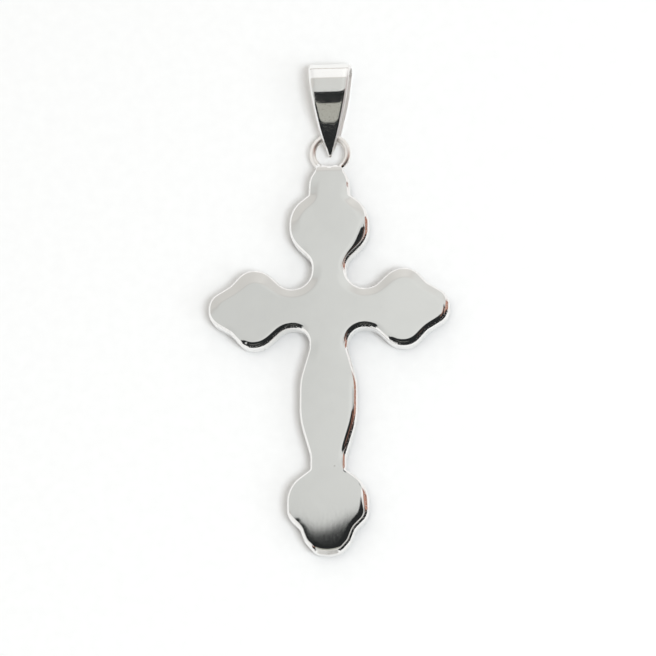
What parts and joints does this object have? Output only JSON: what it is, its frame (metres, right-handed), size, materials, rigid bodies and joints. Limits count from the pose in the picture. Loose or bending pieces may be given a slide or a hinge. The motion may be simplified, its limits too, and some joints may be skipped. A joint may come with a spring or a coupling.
{
  "type": "cross pendant",
  "caption": "Polished silver cross pendant with budded ogee ends, a soldered wire ring at the top and a tapered folded bail that swings on the ring.",
  "frame": {"origin": "centre of the crossing, on the plate's flat back face", "axes": "+Z out of the polished face, +Y from the foot towards the bail, +X along the arms, to the right as seen from the front"},
  "size_m": [0.0238, 0.0497, 0.0031],
  "materials": {
    "plate_silver": "high polish",
    "ring_silver": "polished wire",
    "bail_silver": "high polish",
    "solder": "buffed solder"
  },
  "bodies": {
    "cross": {"cross_plate": "plate_silver", "hanging_ring": "ring_silver", "ring_solder": "solder"},
    "bail": {"bail_strip": "bail_silver", "bail_tip_solder": "solder"}
  },
  "joints": [
    {"name": "bail_swing", "type": "hinge", "parent": "cross", "child": "bail", "pos_m": [0, 0.01773, 0.001], "axis": [1, 0, 0], "range_deg": [-145, 129]}
  ]
}
